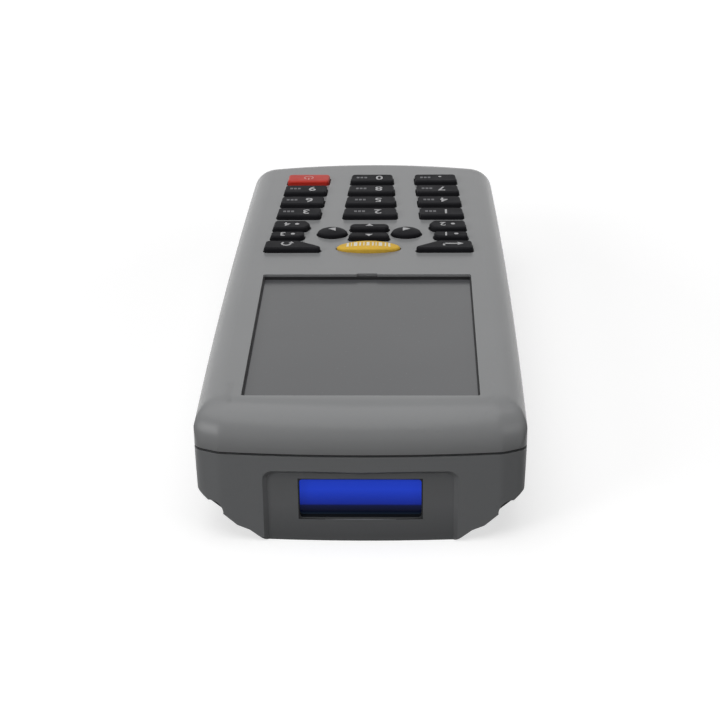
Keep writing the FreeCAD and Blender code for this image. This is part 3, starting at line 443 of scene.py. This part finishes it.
cover_plastic = moulded("cover_plastic", COVER, (0.23, 0.26), 0.03, seam_painted_shade, corner_rounding)
case_plastic = moulded("case_plastic", CASE, (0.30, 0.36), 0.04, case_painted_shade)
black_plastic = moulded("black_plastic", (0.018, 0.018, 0.019), (0.35, 0.5))
black_rubber = rubber("black_rubber", (0.012, 0.012, 0.013))
steel = metal("drawn_steel", (0.56, 0.56, 0.57))
dark_steel = metal("dark_steel", (0.10, 0.10, 0.105), 0.35)
brass = metal("contact_brass", (0.75, 0.55, 0.22), 0.2)
green_board = circuit("green_board")
amber_film = film("amber_film", (0.45, 0.19, 0.03))
battery_wrap = moulded("battery_wrap", (0.06, 0.062, 0.068), (0.28, 0.36), 0.03)

paint(cover_plastic, "front_cover")
paint(case_plastic, "rear_cover", "battery_door", "port_door")
paint(black_plastic, "flex_connector", "battery_connector", "board_header", "buzzer", "scan_engine")
paint(black_rubber, "display_gasket", "window_gasket", "keypad_mat")
paint(touch_screen("touch_screen"), "display_lens")
paint(moulded("lcd_face", (0.12, 0.125, 0.12), (0.25, 0.35), 0.02), "lcd_module")
paint(
    steel,
    "lcd_holder",
    "dome_switches",
    "shield_can",
    "backup_cell",
    "engine_bracket",
    "engine_screws",
    "board_screws",
    "port_socket",
    "port_door_pin",
)
paint(dark_steel, "case_screws")
paint(brass, "contact_blades")
paint(green_board, "main_board", "port_board")
paint(amber_film, "display_flex", "engine_flex")
paint(battery_wrap, "battery_pack")
paint(glowing_coated_pane("glowing_coated_pane"), "scan_window")
paint(dark_glass("engine_glass"), "engine_lens")

flat_keys = [name for name in nodes if name.startswith("key_")]
for name in ("key_scan", "key_power", "key_left", "key_right"):
    flat_keys.remove(name)
paint(rubber_key("grey_key", KEY), *flat_keys)
paint(rubber_key("red_key", RED, rough=(0.40, 0.52), level=0.25), "key_power")
paint(
    rubber_key("yellow_key", YELLOW, bar_code, (0.82, 0.80, 0.72), (0.30, 0.40)),
    "key_scan",
)
paint(rubber_key("left_key", KEY, ball_mark("key_left", 0.0), MARK), "key_left")
paint(rubber_key("right_key", KEY, ball_mark("key_right", math.pi), MARK), "key_right")

# Printed marks on the flat keys. The terminal is read from its tail, so marks are turned round.
mark_print = printed("mark_print", MARK)
dim_print = printed("dim_print", DIM_MARK)
red_mark_print = printed("red_mark_print", (0.62, 0.30, 0.28))


def finish_mark(obj, material, key):
    """Colour a mark and let it ride on its key."""
    obj.data.materials.clear()
    obj.data.materials.append(material)
    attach(obj, key + "_body")


def digit(text, key, x, height, material, name):
    """A printed digit whose foot points to the tail."""
    centre, top = middle(key)
    curve = bpy.data.curves.new(name, "FONT")
    curve.body = text
    curve.size = height * 1.38
    curve.align_x = "CENTER"
    curve.align_y = "CENTER"
    curve.extrude = PRINT / 2
    curve.offset = height * 0.018
    maker = bpy.data.objects.new(name + "_maker", curve)
    bpy.context.scene.collection.objects.link(maker)
    bpy.context.view_layer.update()
    mesh = bpy.data.meshes.new_from_object(maker.evaluated_get(bpy.context.evaluated_depsgraph_get()))
    bpy.data.objects.remove(maker)
    mesh.name = name
    mesh.transform(Matrix.Rotation(math.pi, 4, "Z"))
    mesh.transform(Matrix.Translation((centre.x + x, centre.y, top)))
    obj = bpy.data.objects.new(name, mesh)
    bpy.context.scene.collection.objects.link(obj)
    finish_mark(obj, material, key)


def flat_mark(outlines, key, material, name, shift=(0.0, 0.0)):
    """A printed mark from flat outlines in millimetres, drawn as its reader sees it."""
    centre, top = middle(key)
    vertices = []
    faces = []
    for outline in outlines:
        base = len(vertices)
        count = len(outline)
        for z in (-PRINT / 2, PRINT / 2):
            for px, py in outline:
                x = centre.x + shift[0] - px * MM
                y = centre.y + shift[1] - py * MM
                vertices.append((x, y, top + z))
        faces.append([base + count + i for i in range(count)])
        faces.append([base + i for i in reversed(range(count))])
        for i in range(count):
            j = (i + 1) % count
            faces.append([base + i, base + j, base + count + j, base + count + i])
    mesh = bpy.data.meshes.new(name)
    mesh.from_pydata(vertices, [], faces)
    mesh.update()
    obj = bpy.data.objects.new(name, mesh)
    bpy.context.scene.collection.objects.link(obj)
    finish_mark(obj, material, key)


def rectangle(x0, y0, x1, y1):
    """Outline of a rectangle."""
    return [(x0, y0), (x1, y0), (x1, y1), (x0, y1)]


def ring(radius, width, start, end, steps=28):
    """Arc of a ring as short closed pieces, angles in degrees."""
    pieces = []
    for index in range(steps):
        a = math.radians(start + (end - start) * index / steps)
        b = math.radians(start + (end - start) * (index + 1) / steps)
        inner = radius - width
        pieces.append(
            [
                (radius * math.cos(a), radius * math.sin(a)),
                (radius * math.cos(b), radius * math.sin(b)),
                (inner * math.cos(b), inner * math.sin(b)),
                (inner * math.cos(a), inner * math.sin(a)),
            ]
        )
    return pieces


def disc(x, y, radius, steps=20):
    """Outline of a dot."""
    turns = [2 * math.pi * index / steps for index in range(steps)]
    return [(x + radius * math.cos(a), y + radius * math.sin(a)) for a in turns]


# Each column of number keys: how far its digits stand from the keys' middle, and the digits.
columns = (
    (0.0012, "147"),
    (0.0020, "2580"),
    (0.0018, "369"),
)
bars = [rectangle(x, -0.55, x + 0.75, 0.55) for x in (0.0, 1.05, 2.1)]
for shift, digits in columns:
    for text in digits:
        digit(text, "key_" + text, shift, DIGIT_HEIGHT, mark_print, "digit_" + text)
        flat_mark(bars, "key_" + text, dim_print, "small_marks_" + text, (BARS_X, 0.0))

flat_mark([disc(0, -0.7, 0.42)], "key_dot", mark_print, "dot_mark", (0.0012, 0.0))
flat_mark(bars, "key_dot", dim_print, "small_marks_dot", (BARS_X, 0.0))

for number in "1234":
    key = "key_f" + number
    digit(number, key, -0.0012, SMALL_DIGIT_HEIGHT, mark_print, "digit_f" + number)
    flat_mark([disc(0, 0, 0.55)], key, mark_print, "dot_f" + number, (0.0014, 0.0))

return_arrow = [
    [(-2.6, 0.0), (-1.1, 1.0), (-1.1, -1.0)],
    rectangle(-1.3, -0.28, 2.6, 0.28),
    rectangle(2.04, -0.28, 2.6, 1.3),
]
flat_mark(return_arrow, "key_enter", mark_print, "return_mark", (0.0022, 0.0003))
undo_arrow = ring(1.35, 0.5, -50, 215) + [[(-1.9, -0.35), (-0.55, -0.30), (-1.25, -1.45)]]
flat_mark(undo_arrow, "key_clear", mark_print, "undo_mark", (-0.0016, 0.0003))
power_symbol = ring(1.35, 0.36, 125, 415) + [rectangle(-0.18, 0.2, 0.18, 1.6)]
flat_mark(power_symbol, "key_power", red_mark_print, "power_mark")
triangle_up = [[(-1.0, -0.55), (1.0, -0.55), (0.0, 0.85)]]
triangle_down = [[(-1.0, 0.55), (0.0, -0.85), (1.0, 0.55)]]
flat_mark(triangle_up, "key_up", mark_print, "up_mark", (0.0, 0.0))
flat_mark(triangle_down, "key_down", mark_print, "down_mark", (0.0, 0.0))

WHITE_RAYS = ("Is Camera Ray", "Is Glossy Ray", "Is Transmission Ray")


def grey(level):
    """Neutral colour with full cover."""
    return (level, level, level, 1.0)


# Floor: shows white behind the terminal and keeps its shadow.
floor_mesh = bpy.data.meshes.new("floor")
corners = [(x * FLOOR_REACH, y * FLOOR_REACH, 0) for x, y in rectangle(-1, -1, 1, 1)]
floor_mesh.from_pydata(corners, [], [(0, 1, 2, 3)])
floor = bpy.data.objects.new("floor", floor_mesh)
bpy.context.scene.collection.objects.link(floor)
tree = Tree("floor_white")
path = tree.node("ShaderNodeLightPath")
seen = tree.chain("MAXIMUM", *[path.outputs[name] for name in WHITE_RAYS])
shadowed = tree.node("ShaderNodeBsdfDiffuse", Color=grey(FLOOR_GREY))
distance = tree.node("ShaderNodeVectorMath", Vector=tree.place)
distance.operation = "LENGTH"
glow_level = tree.range(distance.outputs["Value"], GLOW_NEAR[0], GLOW_FAR[0], GLOW_NEAR[1], GLOW_FAR[1])
glow = tree.node("ShaderNodeEmission", Color=grey(1.0), Strength=glow_level)
white = tree.tree.nodes.new("ShaderNodeAddShader")
tree.feed(white.inputs[0], shadowed.outputs[0])
tree.feed(white.inputs[1], glow.outputs[0])
plain = tree.node("ShaderNodeBsdfDiffuse", Color=grey(FLOOR_BOUNCE))
chosen = tree.tree.nodes.new("ShaderNodeMixShader")
tree.feed(chosen.inputs[0], seen)
tree.feed(chosen.inputs[1], plain.outputs[0])
tree.feed(chosen.inputs[2], white.outputs[0])
tree.tree.links.new(chosen.outputs[0], tree.output.inputs["Surface"])
floor_mesh.materials.append(tree.material)

# World: white where the camera sees it, a soft grey as a lamp.
world = bpy.data.worlds.new("studio")
bpy.context.scene.world = world
world.use_nodes = True
links = world.node_tree.links
make = world.node_tree.nodes.new
world.node_tree.nodes.clear()
world_out = make("ShaderNodeOutputWorld")
world_path = make("ShaderNodeLightPath")
sky = make("ShaderNodeBackground")
backdrop = make("ShaderNodeBackground")
for background, strength in ((sky, SKY_LEVEL), (backdrop, 1.0)):
    background.inputs["Color"].default_value = grey(1.0)
    background.inputs["Strength"].default_value = strength
pick = make("ShaderNodeMixShader")
rays = world_path.outputs[WHITE_RAYS[0]]
for name in WHITE_RAYS[1:]:
    either = make("ShaderNodeMath")
    either.operation = "MAXIMUM"
    links.new(rays, either.inputs[0])
    links.new(world_path.outputs[name], either.inputs[1])
    rays = either.outputs["Value"]
links.new(rays, pick.inputs[0])
links.new(sky.outputs[0], pick.inputs[1])
links.new(backdrop.outputs[0], pick.inputs[2])
links.new(pick.outputs[0], world_out.inputs["Surface"])


def soft_light(name, place, aim, size, power):
    """Square studio light."""
    lamp = bpy.data.lights.new(name, "AREA")
    lamp.shape = "SQUARE"
    lamp.size = size
    lamp.energy = power
    obj = bpy.data.objects.new(name, lamp)
    obj.location = place
    obj.rotation_euler = (Vector(aim) - Vector(place)).to_track_quat("-Z", "Y").to_euler()
    bpy.context.scene.collection.objects.link(obj)


soft_light("overhead_light", (-0.08, -0.12, 0.85), (0, 0, 0), 0.9, 5.5)
soft_light("left_light", (-0.72, -0.635, 0.50), (-0.03, -0.07, 0.02), 0.34, 2.4)
soft_light("right_light", (0.72, -0.635, 0.50), (0.03, -0.07, 0.02), 0.34, 0.9)

camera_data = bpy.data.cameras.new("camera")
camera_data.sensor_width = 36.0
camera_data.lens = CAMERA_LENS
camera_data.clip_start = 0.01
camera = bpy.data.objects.new("camera", camera_data)
yaw = math.radians(CAMERA_YAW)
pitch = math.radians(CAMERA_PITCH)
roll = math.radians(CAMERA_ROLL)
ahead = Vector((math.sin(yaw) * math.cos(pitch), math.cos(yaw) * math.cos(pitch), -math.sin(pitch)))
level = Vector((math.cos(yaw), -math.sin(yaw), 0.0))
above = level.cross(ahead)
right = level * math.cos(roll) + above * math.sin(roll)
up = above * math.cos(roll) - level * math.sin(roll)
turned = Matrix((right, up, -ahead)).transposed().to_4x4()
camera.matrix_world = Matrix.Translation(CAMERA_PLACE) @ turned
bpy.context.scene.collection.objects.link(camera)
bpy.context.scene.camera = camera
bpy.context.scene.view_settings.view_transform = "Standard"
